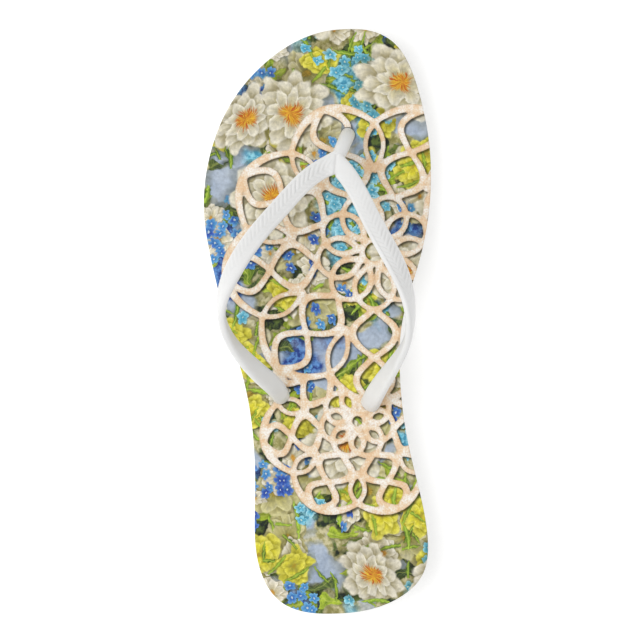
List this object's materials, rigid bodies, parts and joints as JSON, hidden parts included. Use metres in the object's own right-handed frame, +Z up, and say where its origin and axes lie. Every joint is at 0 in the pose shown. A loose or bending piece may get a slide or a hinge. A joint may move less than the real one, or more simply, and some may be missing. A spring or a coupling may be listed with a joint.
{
  "type": "thong sandal",
  "caption": "Flat thong sandal for the left foot: printed footbed on a foam rubber sole, held on by a moulded toe-post strap.",
  "frame": {"origin": "on the floor, under the middle of the sandal's box", "axes": "+Y from the heel to the toe, +X to the inner (medial) side of the left foot, +Z up"},
  "size_m": [0.1002, 0.256, 0.0611],
  "materials": {
    "sole_foam": "matt moulded foam rubber, off-white",
    "footbed_print": "fine printed fabric bonded to foam, floral print on grey-blue",
    "strap_moulded": "soft moulded PVC, white, satin, with an embossed herringbone panel"
  },
  "bodies": {
    "root": {"sole": "sole_foam", "footbed": "footbed_print", "strap": "strap_moulded"}
  },
  "joints": []
}
